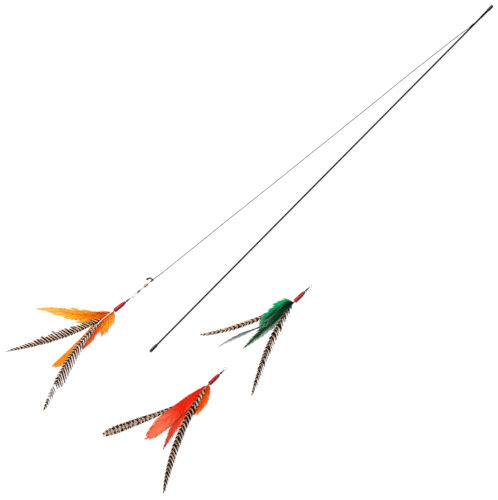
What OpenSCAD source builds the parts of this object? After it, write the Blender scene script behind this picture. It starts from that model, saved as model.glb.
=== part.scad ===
// Cat teaser wand: a thin black rod with a vinyl cap on each end, a long cord
// tied near its tip, a barrel swivel with a safety snap, and three feather
// lures, of which one is clipped on and two lie beside the rod.
// The rod's axis is X, from the butt of the handle cap at 0 to the tip.
// Everything lies on one flat surface, a cap's radius below the rod's axis.

/* [Rod] */
// Length over both end caps
wand_len = 910; // [700:5:1200]
// Diameter of the rod
rod_d = 3.2; // [2.6:0.1:4.5]
// Wall of the soft end caps
cap_wall = 1.25; // [1:0.05:2]
// Thickness of a cap's closed end
cap_end_wall = 1.5; // [0.8:0.1:3]
// Rounding of a cap's closed end
cap_end_round = 1.8; // [0.8:0.1:2.2]
// Length of the cap on the handle end
handle_cap_len = 19; // [12:0.5:40]
// Length over which the handle cap narrows to its mouth
handle_shoulder = 3; // [1:0.5:6]
// Length of the cap on the tip
tip_cap_len = 13; // [9:0.5:25]

/* [Tip] */
// Length of the shrunk sleeve behind the tip cap
sleeve_len = 18; // [10:1:25]
// Wall of the shrunk sleeve
sleeve_wall = 0.45; // [0.3:0.05:0.8]
// Way along the rod over which the string climbs from the rod's side to its top
climb_len = 16; // [10:1:24]

/* [String] */
// Diameter of the string
string_d = 1.3; // [0.8:0.1:1.4]
// Clear gap between neighbouring turns of string
turn_gap = 0.5; // [0.45:0.05:1]
// Turns of string in the knot at the swivel
knot_turns = 2; // [1:1:3]
// Diameter of the string's tag end, which is doubled back and fused
tag_d = 2.3; // [1.2:0.1:2.5]
// Diameter of the melted bead on the string's tag end
bead_d = 3.2; // [2:0.1:3.4]

/* [Swivel] */
// Wire diameter of the swivel's eyes
eye_wire_d = 0.9; // [0.7:0.05:1]
// Mean radius of the swivel's eyes
eye_r = 2.3; // [2.1:0.1:3]
// Bare stem between an eye and the barrel
stem_free = 3.5; // [2.5:0.1:5]
// Diameter of an eye's stem
stem_d = 1.3; // [1:0.05:1.5]
// Diameter of the head that holds a stem in the barrel
head_d = 2.7; // [2.2:0.1:2.8]
// Length of a stem's head
head_len = 1.2; // [0.8:0.1:1.8]
// Length of the barrel
barrel_len = 9.2; // [7:0.1:13]
// Largest diameter of the barrel
barrel_od = 4.7; // [4.4:0.1:5.4]
// Diameter of the barrel's ends
barrel_neck_od = 3.2; // [3:0.1:4]
// Wall at the barrel's ends
barrel_end_wall = 0.7; // [0.5:0.1:1]

/* [Snap] */
// Wire diameter of the snap
snap_wire_d = 0.9; // [0.7:0.05:0.95]
// Length of the snap from its link in the swivel to its far end
snap_len = 21; // [18:0.5:28]
// Mean radius of the snap's far end
snap_end_r = 2.2; // [2.1:0.1:3]
// Sheet thickness of the snap's clasp plate
plate_sheet = 0.35; // [0.25:0.05:0.5]
// Length of the clasp plate
plate_len = 7.4; // [6:0.2:9]
// Height of the lip that keeps the gate in
plate_lip = 0.75; // [0.5:0.05:0.75]

/* [Lure fittings] */
// Wire diameter of a lure's eye and shank
lure_wire_d = 0.9; // [0.7:0.05:0.95]
// Mean radius of a lure's eye
ring_r = 2.55; // [2.5:0.05:3]
// Outer diameter of a lure's cap
lure_cap_od = 8; // [7.6:0.1:8.4]
// Length of a lure's cap
lure_cap_len = 27; // [24:0.5:28]
// Wall of a lure's cap
lure_cap_wall = 0.9; // [0.6:0.05:1]
// Diameter of the cap's nose
nose_d = 2.6; // [2:0.1:3.4]
// Length of the glue plug inside the cap
plug_len = 10; // [8:0.5:12]
// How far the glue plug sits inside the mouth
plug_recess = 2; // [0:0.5:3]
// Distance from a lure's eye to the mouth of its cap
ring_to_mouth = 41; // [40:0.5:46]
// Turns of the wire that binds a lure's shank
bind_turns = 6; // [3:1:6]

/* [Feathers] */
// Length of a barred feather
barred_len = 225; // [150:5:260]
// Width of a barred feather
barred_w = 14; // [8:0.5:20]
// Length of a dyed plume
plume_len = 155; // [90:5:180]
// Width of a dyed plume
plume_w = 24; // [12:0.5:30]
// Diameter of a feather's quill
quill_d = 0.9; // [0.7:0.05:0.95]
// Thickness of a feather's vane beside the shaft
vane_t = 0.4; // [0.2:0.05:0.5]
// Way over which a feather settles from its socket to its resting height
settle_len = 70; // [40:5:100]

/* [Layout] */
// Place of the green lure's mouth along the rod
green_x = 257; // [230:1:400]
// Distance of the green lure's mouth from the rod
green_away = 126; // [115:1:200]
// Place of the red lure's mouth along the rod
red_x = 35; // [-20:1:45]
// Distance of the red lure's mouth from the rod
red_away = 121; // [115:0.5:200]

/* [Hidden] */
// Radial room of a turning stem, and of a wire in its hole
run_gap = 0.05;
// Free length of a stem's head along the barrel
end_play = 0.1;
// Room between two linked wires
link_gap = 0.15;
// Room between the string and what it lies against
lay_gap = 0.05;
// Room in which the free string's end turns
turn_room = 0.35;
// Overrun of a cut past the face that it goes through
over = 0.1;
// From the knot's centre to the swivel eye that its loop goes round
loop_reach = 3.5;
// From the snap's link to the start of its clasp plate
plate_setback = 1.5;
// From the snap's far end to the centre of the lure's eye on it
ring_lead = 0.8;
// Swelling of a wire where it is bent sharply
knee_swell = 0.02;
// Length of the folded part of the clasp plate
clamp_len = 3.8;
// Length of a quill in its socket
socket_len = 5.5;
// Room between a quill and the next one above it
layer_gap = 0.1;
// Lowest height of a feather's shaft over the surface
feather_low = 0.5;
// Step in height from one resting feather to the next
feather_step = 0.8;
// Straight part of a lure cap behind its mouth
cap_straight = 13;
// Solid nose of a lure cap
nose_solid = 4;

// Place of the string round the rod, in degrees up from the rod's side
anchor_turn = 60;
// Directions in degrees: the swivel and snap, then each lure
chain_dir = 174;
orange_dir = 173;
green_dir = 178.7;
red_dir = 178.3;

// Colours
black = [0.06, 0.06, 0.065];
cord_black = [0.13, 0.13, 0.14];
brass = [0.72, 0.55, 0.28];
steel = [0.7, 0.7, 0.72];
dark_wire = [0.16, 0.13, 0.12];
cap_red = [0.72, 0.03, 0.08];
glue = [0.85, 0.8, 0.68];
barred_brown = [0.45, 0.33, 0.22];
orange = [0.95, 0.48, 0.08];
flame = [0.85, 0.2, 0.08];
green = [0.1, 0.35, 0.16];
dark_green = [0.08, 0.16, 0.1];
red = [0.85, 0.16, 0.1];

$fn = 48;
string_r = string_d / 2;
rod_r = rod_d / 2;
cap_od = rod_d + 2 * cap_wall;
floor_z = -cap_od / 2;

// Stations along the swivel and snap, counted from the knot's centre
eye_top = eye_r + eye_wire_d / 2;
upper_eye_at = loop_reach + eye_r;
barrel_at = upper_eye_at + eye_r + stem_free;
lower_eye_at = barrel_at + barrel_len + stem_free + eye_r;
link_at = lower_eye_at + eye_r;
link_r = (eye_wire_d + snap_wire_d) / 2 + link_gap;
plate_at = link_at + plate_setback;
snap_end_at = link_at + snap_len;
ring_at = snap_end_at + ring_lead;
chain_z = floor_z + eye_top;

// The free string, from the rod's side to the knot
route = [
  [848.7, 2.35, 0], [845, 2.8, -0.1], [838, 4.1, -0.6], [828, 5.7, -1.6], [815, 7.5, -2.15],
  [795, 10, -2.2], [760, 14.4, -2.2], [726, 18.7, -2.2], [680, 24, -2.2], [632, 29, -2.2],
  [585, 34.5, -2.2], [538, 39.7, -2.2], [490, 45.3, -2.2], [443, 50.7, -2.2], [396, 56, -2.2],
  [350, 61.5, -2.2], [303, 67, -2.2], [256, 72.5, -2.2], [209, 77.6, -2.2], [162, 82.9, -2.2],
  [130, 86.4, -2.2], [116, 88.3, -1.9], [110, 89.2, -1], [106, 89.95, -0.3], [102.4, 90.45, -0.1],
  [98.9, 90.8, -0.1]
];
knot = route[len(route) - 1];

// The tag end that stands off the knot, ending in its bead
tag_route = [
  [98.7, 93.2, -0.5], [98.8, 95, -0.8], [98, 96.6, -0.95], [96.6, 97.9, -1],
  [94.8, 98.7, -1.05], [92.8, 99, -1.1], [90.9, 98.9, -1.1]
];

// A direction in the plane of the surface
function heading(a) = [cos(a), sin(a), 0];
function flat_dir(v) = atan2(v[1], v[0]);
// Smooth step from 0 to 1
function ease(t) = let (u = min(1, max(0, t))) u * u * (3 - 2 * u);

// Point on a smooth curve through the points of a list, at i + t
function along(p, i, t) =
  let (
    n = len(p) - 1,
    a = p[max(0, i - 1)],
    b = p[i],
    c = p[min(n, i + 1)],
    d = p[min(n, i + 2)]
  )
  b + t * (c - a) / 2 + t * t * (a - 5 * b / 2 + 2 * c - d / 2) + t * t * t * (3 * (b - c) + d - a) / 2;
function smooth(p, steps) = [
  for (i = [0:len(p) - 2], k = [0:steps - 1]) along(p, i, k / steps),
  p[len(p) - 1]
];
function length_of(p) = len(p) < 2 ? 0 : norm(p[1] - p[0]) + length_of([for (i = [1:len(p) - 1]) p[i]]);

// Direction of a path at its point i
function tangent(p, i) =
  let (v = p[min(len(p) - 1, i + 1)] - p[max(0, i - 1)]) v / norm(v);

// Ring of a tube at point i: its side vector lies square to the path and to hint
function tube_ring(p, i, r, sides, hint) =
  let (t = tangent(p, i), s = cross(hint, t), u = s / norm(s), v = cross(t, u))
  [for (k = [0:sides - 1]) p[i] + r * (cos(360 * k / sides) * u + sin(360 * k / sides) * v)];

// Closed skin over rings of equal size, with flat ends
module skin(rings) {
  n = len(rings[0]);
  last = len(rings) - 1;
  side_faces = [
    for (i = [0:last - 1], k = [0:n - 1], half = [0, 1])
      let (a = i * n + k, b = i * n + (k + 1) % n)
      half == 0 ? [a, a + n, b] : [b, a + n, b + n]
  ];
  start_faces = [for (k = [1:n - 2]) [0, k, k + 1]];
  end_faces = [for (k = [1:n - 2]) [last * n, last * n + k + 1, last * n + k]];
  polyhedron(
    points = [for (ring = rings, q = ring) q],
    faces = concat(side_faces, start_faces, end_faces)
  );
}

// Tube whose radius goes from r0 to r1 along the path
module tube(path, r0, r1, sides, hint) {
  last = len(path) - 1;
  skin([for (i = [0:last]) tube_ring(path, i, r0 + (r1 - r0) * i / last, sides, hint)]);
}

// Winding round the X axis from x0, its radius going from r0 to r1
function winding(x0, pitch, turns, r0, r1, start, steps) = [
  for (i = [0:turns * steps])
    let (u = i / (turns * steps), a = start + 360 * i / steps, r = r0 + (r1 - r0) * u)
    [x0 + pitch * i / steps, r * cos(a), r * sin(a)]
];
// Least clear gap between a winding's turns, measured on its points
function least_gap(p, d, apart) = min([
  for (i = [0:len(p) - 1 - apart], j = [i + apart:len(p) - 1]) norm(p[i] - p[j])
]) - d;

// Round wire laid by steps: ["line", length], ["arc", radius, turn] or ["knee", turn],
// a sharp bend where the wire swells a hair
module wire(d, steps, i = 0) {
  if (i < len(steps)) {
    s = steps[i];
    if (s[0] == "line") {
      rotate([0, 90, 0]) cylinder(d = d, h = s[1]);
      translate([s[1], 0, 0]) wire(d, steps, i + 1);
    } else if (s[0] == "knee") {
      sphere(d = d + 2 * knee_swell);
      rotate([0, 0, s[1]]) wire(d, steps, i + 1);
    } else {
      translate([0, s[1], 0]) {
        rotate([0, 0, -90]) rotate_extrude(angle = s[2]) translate([s[1], 0]) circle(d = d);
        rotate([0, 0, s[2]]) translate([0, -s[1], 0]) wire(d, steps, i + 1);
      }
    }
  }
}

// Ring of wire in the plane of X and Z, or flat
module wire_ring(r, d, upright = true) {
  rotate([upright ? 90 : 0, 0, 0]) rotate_extrude() translate([r, 0]) circle(d = d);
}
// Cylinder along X
module rod_along(d, x0, x1) {
  translate([x0, 0, 0]) rotate([0, 90, 0]) cylinder(d = d, h = x1 - x0);
}
// Turned piece along X
module turned() {
  rotate([0, 90, 0]) rotate([0, 0, 90]) rotate_extrude() children();
}

module rod() {
  color(black) rod_along(rod_d, cap_end_wall, wand_len - cap_end_wall);
}

// Half section of a dipped vinyl cap, closed end at 0. Its wall is straight up to
// the shoulder, over which it narrows to mouth_r, and its lip is rounded.
module cap_section(length, shoulder, mouth_r, lip_round) {
  r = cap_od / 2;
  neck = length - shoulder;
  difference() {
    union() {
      square([r - cap_end_round, neck]);
      translate([0, cap_end_round]) square([r, neck - cap_end_round]);
      translate([r - cap_end_round, cap_end_round]) circle(r = cap_end_round);
      if (shoulder > lip_round)
        polygon([[0, neck], [r, neck], [mouth_r, length - lip_round], [0, length - lip_round]]);
      translate([0, neck - lip_round]) square([mouth_r - lip_round, length - neck + lip_round]);
      translate([mouth_r - lip_round, length - lip_round]) circle(r = lip_round);
    }
    translate([0, cap_end_wall]) square([rod_r, length]);
    translate([-r, -length]) square([r, 3 * length]);
  }
}

module handle_cap() {
  lip = cap_wall / 3;
  color(black) turned() cap_section(handle_cap_len, handle_shoulder, rod_r + cap_wall / 2, lip);
}

module tip_cap() {
  lip = 0.7 * cap_wall;
  color(black) translate([wand_len, 0, 0]) mirror([1, 0, 0]) turned()
    cap_section(tip_cap_len, lip, cap_od / 2, lip);
}

// Outline that a film takes, shrunk over the rod and the string that lies on it
anchor_r = rod_r + string_r + lay_gap;
module shrunk_outline(extra) {
  big = rod_r + extra;
  small = string_r + extra;
  slant = asin((big - small) / anchor_r);
  rotate(anchor_turn - 90) {
    circle(r = big);
    translate([0, anchor_r]) circle(r = small);
    polygon([
      [big * cos(slant), big * sin(slant)],
      [small * cos(slant), anchor_r + small * sin(slant)],
      [-small * cos(slant), anchor_r + small * sin(slant)],
      [-big * cos(slant), big * sin(slant)]
    ]);
  }
}

sleeve_end = wand_len - tip_cap_len;
sleeve_start = sleeve_end - sleeve_len;
module tip_sleeve() {
  color(black) translate([sleeve_start, 0, 0]) rotate([90, 0, 90]) difference() {
    linear_extrude(sleeve_len) shrunk_outline(sleeve_wall);
    translate([0, 0, -over]) linear_extrude(sleeve_len + 2 * over) shrunk_outline(0);
  }
}

// The string's end lies on the rod: it climbs from the rod's side to its place
// under the sleeve, and runs straight on to the tip cap
anchor_start = route[0][0] + string_r + turn_room;
anchor_end = sleeve_end - string_d;
function on_rod(x, a) = [x, anchor_r * cos(a), anchor_r * sin(a)];
module string_anchor() {
  steps = 10;
  straight = anchor_end - anchor_start - climb_len;
  color(cord_black) tube(concat(
    [for (i = [0:steps]) on_rod(anchor_start + climb_len * i / steps, anchor_turn * ease(i / steps))],
    [for (i = [1:steps]) on_rod(anchor_start + climb_len + straight * i / steps, anchor_turn)]
  ), string_r, string_r, 8, [0, 0, 1]);
}

string_path = smooth(route, 3);
echo(free_string_length = length_of(string_path));
module string() {
  color(cord_black) tube(string_path, string_r, string_r, 8, [0, 0, 1]);
}

// Frame of the knot, swivel and snap: X runs from the knot to the lure
module chain() {
  translate([knot[0], knot[1], chain_z]) rotate([0, 0, chain_dir]) children();
}

// The knot's turns bind the string just before its end
turn_pitch = string_d + turn_gap;
knot_r = string_d + lay_gap;
knot_len = knot_turns * turn_pitch;
knot_path = winding(-knot_len / 2 - string_r, turn_pitch, knot_turns, knot_r, knot_r, 90, 12);
echo(knot_least_gap = least_gap(knot_path, string_d, 6));
module string_knot() {
  color(cord_black) chain() tube(knot_path, string_r, string_r, 6, [1, 0, 0]);
}

loop_r = (eye_wire_d + string_d) / 2 + lay_gap;
module string_loop() {
  loop_start = knot_len / 2 + lay_gap;
  color(cord_black) chain() translate([loop_start, -loop_r, 0]) wire(string_d, [
    ["line", loop_reach - loop_start],
    ["arc", loop_r, 180],
    ["line", loop_reach - loop_start]
  ]);
}

tag_path = smooth(tag_route, 2);
module string_tag() {
  color(cord_black) tube(tag_path, tag_d / 2, bead_d / 2, 8, [0, 0, 1]);
}

// An eye with its stem and head, the ring's centre at 0 and the stem towards +X
module swivel_eye() {
  wire_ring(eye_r, eye_wire_d);
  head_at = eye_r + stem_free + barrel_end_wall + end_play;
  rod_along(stem_d, eye_r, head_at + head_len / 2);
  rod_along(head_d, head_at, head_at + head_len);
}

module swivel_upper_eye() {
  color(steel) chain() translate([upper_eye_at, 0, 0]) swivel_eye();
}

module swivel_lower_eye() {
  color(steel) chain() translate([lower_eye_at, 0, 0]) mirror([1, 0, 0]) swivel_eye();
}

// Half section of the barrel: a swelling wall that closes in on the two stems
module barrel_section() {
  steps = 16;
  hole_r = stem_d / 2 + run_gap;
  room_r = head_d / 2 + run_gap;
  swell = (barrel_od - barrel_neck_od) / 2;
  difference() {
    polygon(concat(
      [[0, 0]],
      [for (k = [0:steps]) [barrel_neck_od / 2 + swell * sqrt(sin(180 * k / steps)), barrel_len * k / steps]],
      [[0, barrel_len]]
    ));
    translate([0, barrel_end_wall]) square([room_r, barrel_len - 2 * barrel_end_wall]);
    translate([0, -over]) square([hole_r, barrel_len + 2 * over]);
  }
}

module swivel_barrel() {
  color(brass) chain() translate([barrel_at, 0, 0]) turned() barrel_section();
}

// The snap's arms run from the clasp's front edge to the round far end, which
// they meet on a tangent
arm_from = plate_at + plate_len;
arm_centre = snap_end_at - snap_end_r;
arm_reach = norm([arm_centre - arm_from, link_r]);
arm_turn = asin(snap_end_r / arm_reach) - atan2(link_r, arm_centre - arm_from);
arm_len = sqrt(arm_reach * arm_reach - snap_end_r * snap_end_r);
// The gate turns on its round end, clear of the frame's own end by link_gap
gate_clear_turn = asin((snap_wire_d / 2 + link_gap) / snap_end_r);
gate_len = arm_len + plate_len - clamp_len - snap_wire_d;
gate_pivot = [arm_centre - snap_end_r * sin(arm_turn), snap_end_r * cos(arm_turn), 0];

module snap_frame() {
  tail = clamp_len + plate_setback;
  color(steel) chain() translate([link_at + tail, link_r, 0]) rotate([0, 0, 180]) wire(snap_wire_d, [
    ["line", tail],
    ["arc", link_r, 180],
    ["line", arm_from - link_at],
    ["knee", -arm_turn],
    ["line", arm_len],
    ["arc", snap_end_r, 180 + 2 * arm_turn - gate_clear_turn]
  ]);
}

module snap_gate() {
  color(steel) chain() translate(gate_pivot) rotate([0, 0, 180 + arm_turn]) {
    sphere(d = snap_wire_d);
    rod_along(snap_wire_d, 0, gate_len);
    translate([gate_len, 0, 0]) sphere(d = snap_wire_d);
  }
}

// Folded sheet: a closed fold that grips both legs, then an open tray with a
// lip, in which the gate's end lies
module snap_plate() {
  room = snap_wire_d / 2 + run_gap;
  half_w = link_r + room;
  lip_at = half_w + 2 * run_gap;
  outer = half_w + plate_sheet;
  corner = plate_sheet + link_gap;
  front = plate_len - corner;
  color(brass) chain() translate([plate_at, 0, 0]) {
    difference() {
      translate([0, -outer, -room - plate_sheet]) cube([clamp_len, 2 * outer, 2 * (room + plate_sheet)]);
      translate([-over, -half_w, -room]) cube([clamp_len + 2 * over, 2 * half_w, 2 * room]);
    }
    translate([0, 0, -room - plate_sheet]) linear_extrude(plate_sheet) {
      translate([0, -outer]) square([front, outer + lip_at + plate_sheet]);
      translate([0, -outer + corner]) square([plate_len, outer + lip_at + plate_sheet - 2 * corner]);
      translate([front, -outer + corner]) circle(r = corner);
      translate([front, lip_at + plate_sheet - corner]) circle(r = corner);
    }
    translate([clamp_len, lip_at, -room - plate_sheet])
      cube([front - clamp_len, plate_sheet, plate_lip]);
    translate([clamp_len, -outer, -room - plate_sheet])
      cube([front - clamp_len, plate_sheet, plate_sheet + plate_lip]);
  }
}

// A lure's own frame: its mouth's centre at 0, its feathers towards +X
lure_z = floor_z + lure_cap_od / 2;
orange_ring = knot + ring_at * heading(chain_dir);
orange_mouth = orange_ring + ring_to_mouth * heading(orange_dir);
module orange_lure() {
  translate([orange_mouth[0], orange_mouth[1], lure_z]) rotate([0, 0, orange_dir]) children();
}
module green_lure() {
  translate([green_x, -green_away, lure_z]) rotate([0, 0, green_dir]) children();
}
module red_lure() {
  translate([red_x, -red_away, lure_z]) rotate([0, 0, red_dir]) children();
}

shank_end = plug_recess + socket_len + run_gap + lure_wire_d;
module lure_eye(upright) {
  color(steel) {
    translate([-ring_to_mouth, 0, 0]) wire_ring(ring_r, lure_wire_d, upright);
    rod_along(lure_wire_d, ring_r - ring_to_mouth, -shank_end);
  }
}

// The binding widens from the eye towards the cap, and ends short of its nose
bind_len = ring_to_mouth - ring_r - lure_cap_len - 2 * lure_wire_d;
bind_pitch = bind_len / bind_turns;
bind_r0 = lure_wire_d + run_gap;
bind_r1 = nose_d / 2 + lure_wire_d / 2;
bind_start = ring_r - ring_to_mouth + lure_wire_d;
bind_path = winding(bind_start, bind_pitch, bind_turns, bind_r0, bind_r1, 90, 8);
echo(binding_least_gap = least_gap(bind_path, lure_wire_d, 5));
module lure_binding() {
  color(dark_wire) tube(bind_path, lure_wire_d / 2, lure_wire_d / 2, 6, [1, 0, 0]);
}

// Outer radius of a lure's cap at x behind its mouth: straight, then an ogive
function cap_r(x, big, small) =
  let (u = max(0, (x - cap_straight) / (lure_cap_len - cap_straight)))
  small + (big - small) * pow(1 - pow(u, 2.2), 0.75);
module lure_cap() {
  steps = 14;
  r = lure_cap_od / 2;
  inner = r - lure_cap_wall;
  ogive = lure_cap_len - cap_straight;
  hollow = ogive - nose_solid;
  color(cap_red) translate([-lure_cap_len, 0, 0]) turned() difference() {
    polygon(concat(
      [for (k = [0:steps]) [cap_r(lure_cap_len - ogive * k / steps, r, nose_d / 2), ogive * k / steps]],
      [[r, lure_cap_len], [0, lure_cap_len], [0, 0]]
    ));
    polygon(concat(
      [
        for (k = [0:steps])
          let (outer = cap_r(cap_straight + hollow * (1 - k / steps), r, nose_d / 2))
          [outer - lure_cap_wall, nose_solid + hollow * k / steps]
      ],
      [[inner, lure_cap_len + over], [0, lure_cap_len + over], [0, nose_solid]]
    ));
    translate([0, -over]) square([lure_wire_d / 2 + run_gap, lure_cap_len]);
  }
}

// Each feather is a row of shares and angles:
// its length share and width share, then as shares of its length where the
// vane starts and where it is widest, how blunt its ends are, the place of its
// socket across the plug as a share of the bore, the heading, bend and sway of
// its shaft in degrees, and the share by which its vane leans to the left.
// A feather's row also sets its height: the first row is the lowest.
orange_shares = [
  [0.98, 1.00, 0.04, 0.30, 0.05, 0.40, -15, -105, 82, 0],
  [1.01, 0.68, 0.20, 0.70, 0.55, -0.10, -6, 61, -63, 0.25],
  [0.35, 0.75, 0.05, 0.45, 0.50, 0.05, 29, -34, 38, 0],
  [0.61, 0.50, 0.10, 0.60, 0.50, -0.45, 6, 43, -44, 0],
  [0.98, 1.10, 0.12, 0.50, 0.10, 0.10, -2, -45, 20, -0.7],
  [1.03, 1.30, 0.15, 0.58, 0.60, -0.35, -3, 51, -18, 0.55]
];
green_shares = [
  [0.84, 0.68, 0.12, 0.50, 0.50, 0.35, -19, -1, -17, 0],
  [0.87, 0.66, 0.04, 0.45, 0.50, -0.30, 7, 41, -17, 0.3],
  [1.09, 0.33, 0.15, 0.50, 0.20, 0.10, 11, -105, 85, 0],
  [0.85, 0.85, 0.04, 0.30, 0.15, -0.35, 0, -1, -2, 0],
  [0.54, 1.10, 0.03, 0.45, 0.40, 0.25, -22, 38, -14, -0.1]
];
red_shares = [
  [0.99, 1.02, 0.10, 0.78, 0.55, 0.35, -3, -56, 38, 0],
  [0.44, 0.60, 0.03, 0.50, 0.55, 0.15, 37, -23, -27, 0],
  [0.98, 0.68, 0.04, 0.45, 0.35, -0.30, -8, 61, -33, 0],
  [1.01, 1.20, 0.04, 0.60, 0.50, 0.05, -10, 27, -19, 0],
  [1.00, 0.95, 0.04, 0.50, 0.50, -0.35, 8, 32, 0, 0.55]
];

layer_pitch = quill_d + layer_gap;
bore_r = lure_cap_od / 2 - lure_cap_wall;
function socket_z(shares, i) = (i - (len(shares) - 1) / 2) * layer_pitch;
function rest_z(i) = feather_low + i * feather_step - lure_cap_od / 2;

module lure_plug(shares) {
  quill_hole = quill_d + 2 * run_gap;
  color(glue) difference() {
    rod_along(2 * bore_r, -plug_recess - plug_len, -plug_recess);
    rod_along(lure_wire_d, -plug_recess - plug_len - over, -shank_end);
    for (i = [0:len(shares) - 1])
      translate([0, shares[i][5] * bore_r, socket_z(shares, i)])
        rod_along(quill_hole, -plug_recess - socket_len, over - plug_recess);
  }
}

// Half width of a vane at share t of the feather's length: a half wave that
// starts at share start, is widest at share peak, and is the fuller the blunter
function vane_half(t, start, peak, blunt, w) =
  t <= start ? 0 :
  w / 2 * pow(sin(180 * pow((t - start) / (1 - start), ln(0.5) / ln(peak))), 1 - blunt);

// Shaft of a feather in the lure's frame, as points with a heading each
feather_steps = 28;
function shaft_points(shares, i, long) =
  let (s = shares[i], step = s[0] * long / feather_steps)
  [
    for (
      k = 0, x = 0, y = s[5] * bore_r;
      k <= feather_steps;
      u = (k + 0.5) / feather_steps,
      a = (s[6] + s[7] * u + s[8] * u * u) * ease(0.5 + k / 2),
      k = k + 1, x = x + step * cos(a), y = y + step * sin(a)
    )
      [x, y, socket_z(shares, i) + (rest_z(i) - socket_z(shares, i)) * ease(k * step / settle_len)]
  ];

// Ring of eight points round the shaft: round at the quill, flat at the vane,
// which is wider on its left by the share lean and narrower on its right
function vane_ring(p, a, half, shaft_r, lean) =
  let (
    w = max(half, shaft_r),
    flat = min(1, (w / shaft_r - 1) / 4),
    mid = sqrt(0.5) * shaft_r * (1 - flat) + vane_t / 2 * flat,
    up = [0, 0, 1],
    left = w * (1 + lean * flat) * heading(a + 90),
    right = w * (1 - lean * flat) * heading(a - 90),
    slope = sqrt(0.5)
  )
  [
    p + left, p + slope * left + mid * up, p + shaft_r * up, p + slope * right + mid * up,
    p + right, p + slope * right - mid * up, p - shaft_r * up, p + slope * left - mid * up
  ];

module feather(shares, i, long, wide) {
  s = shares[i];
  pts = shaft_points(shares, i, long);
  root = [[-plug_recess - socket_len, pts[0][1], pts[0][2]], [-plug_recess, pts[0][1], pts[0][2]]];
  quill_r = quill_d / 2;
  skin(concat(
    [for (p = root) vane_ring(p, 0, 0, quill_r, 0)],
    [
      for (k = [0:feather_steps])
        let (
          t = k / feather_steps,
          half = k == feather_steps ? 0 : vane_half(t, s[2], s[3], s[4], s[1] * wide),
          a = k == 0 ? 0 : flat_dir(pts[min(feather_steps, k + 1)] - pts[k - 1])
        )
        vane_ring(pts[k], a, half, quill_r * (1 - 0.7 * t), s[9])
    ]
  ));
}
module barred_feather(shares, i) {
  color(barred_brown) feather(shares, i, barred_len, barred_w);
}
module plume(shares, i) {
  feather(shares, i, plume_len, plume_w);
}

module orange_lure_eye() { orange_lure() lure_eye(true); }
module orange_lure_binding() { orange_lure() lure_binding(); }
module orange_lure_cap() { orange_lure() lure_cap(); }
module orange_lure_plug() { orange_lure() lure_plug(orange_shares); }
module orange_barred_feather_low() { orange_lure() barred_feather(orange_shares, 4); }
module orange_barred_feather_high() { orange_lure() barred_feather(orange_shares, 5); }
module orange_plume_wide() { color(orange) orange_lure() plume(orange_shares, 0); }
module orange_plume_long() { color(orange) orange_lure() plume(orange_shares, 1); }
module orange_plume_flame() { color(flame) orange_lure() plume(orange_shares, 3); }
module orange_plume_short() { color(orange) orange_lure() plume(orange_shares, 2); }

module green_lure_eye() { green_lure() lure_eye(false); }
module green_lure_binding() { green_lure() lure_binding(); }
module green_lure_cap() { green_lure() lure_cap(); }
module green_lure_plug() { green_lure() lure_plug(green_shares); }
module green_barred_feather_low() { green_lure() barred_feather(green_shares, 0); }
module green_barred_feather_high() { green_lure() barred_feather(green_shares, 1); }
module green_plume_thin() { color(dark_green) green_lure() plume(green_shares, 2); }
module green_plume_long() { color(green) green_lure() plume(green_shares, 3); }
module green_plume_wide() { color(green) green_lure() plume(green_shares, 4); }

module red_lure_eye() { red_lure() lure_eye(false); }
module red_lure_binding() { red_lure() lure_binding(); }
module red_lure_cap() { red_lure() lure_cap(); }
module red_lure_plug() { red_lure() lure_plug(red_shares); }
module red_barred_feather_low() { red_lure() barred_feather(red_shares, 0); }
module red_barred_feather_high() { red_lure() barred_feather(red_shares, 4); }
module red_plume_wide() { color(red) red_lure() plume(red_shares, 3); }
module red_plume_long() { color(red) red_lure() plume(red_shares, 2); }
module red_plume_short() { color(orange) red_lure() plume(red_shares, 1); }

rod();
handle_cap();
tip_cap();
tip_sleeve();
string_anchor();
string();
string_knot();
string_loop();
string_tag();
swivel_upper_eye();
swivel_barrel();
swivel_lower_eye();
snap_frame();
snap_plate();
snap_gate();
orange_lure_eye();
orange_lure_binding();
orange_lure_cap();
orange_lure_plug();
orange_barred_feather_low();
orange_barred_feather_high();
orange_plume_wide();
orange_plume_long();
orange_plume_flame();
orange_plume_short();
green_lure_eye();
green_lure_binding();
green_lure_cap();
green_lure_plug();
green_barred_feather_low();
green_barred_feather_high();
green_plume_wide();
green_plume_long();
green_plume_thin();
red_lure_eye();
red_lure_binding();
red_lure_cap();
red_lure_plug();
red_barred_feather_low();
red_barred_feather_high();
red_plume_wide();
red_plume_long();
red_plume_short();
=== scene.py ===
# %% [markdown]
# # Cat teaser wand
# A thin black rod, a long cord, a barrel swivel with a safety snap, and three
# feather lures. Rod, caps, swivel and snap keep their solids of the CAD model and
# get a finish here. What is soft on the real toy (the cord and every feather) is
# made again in detail, in the same place.

from types import SimpleNamespace

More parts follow.
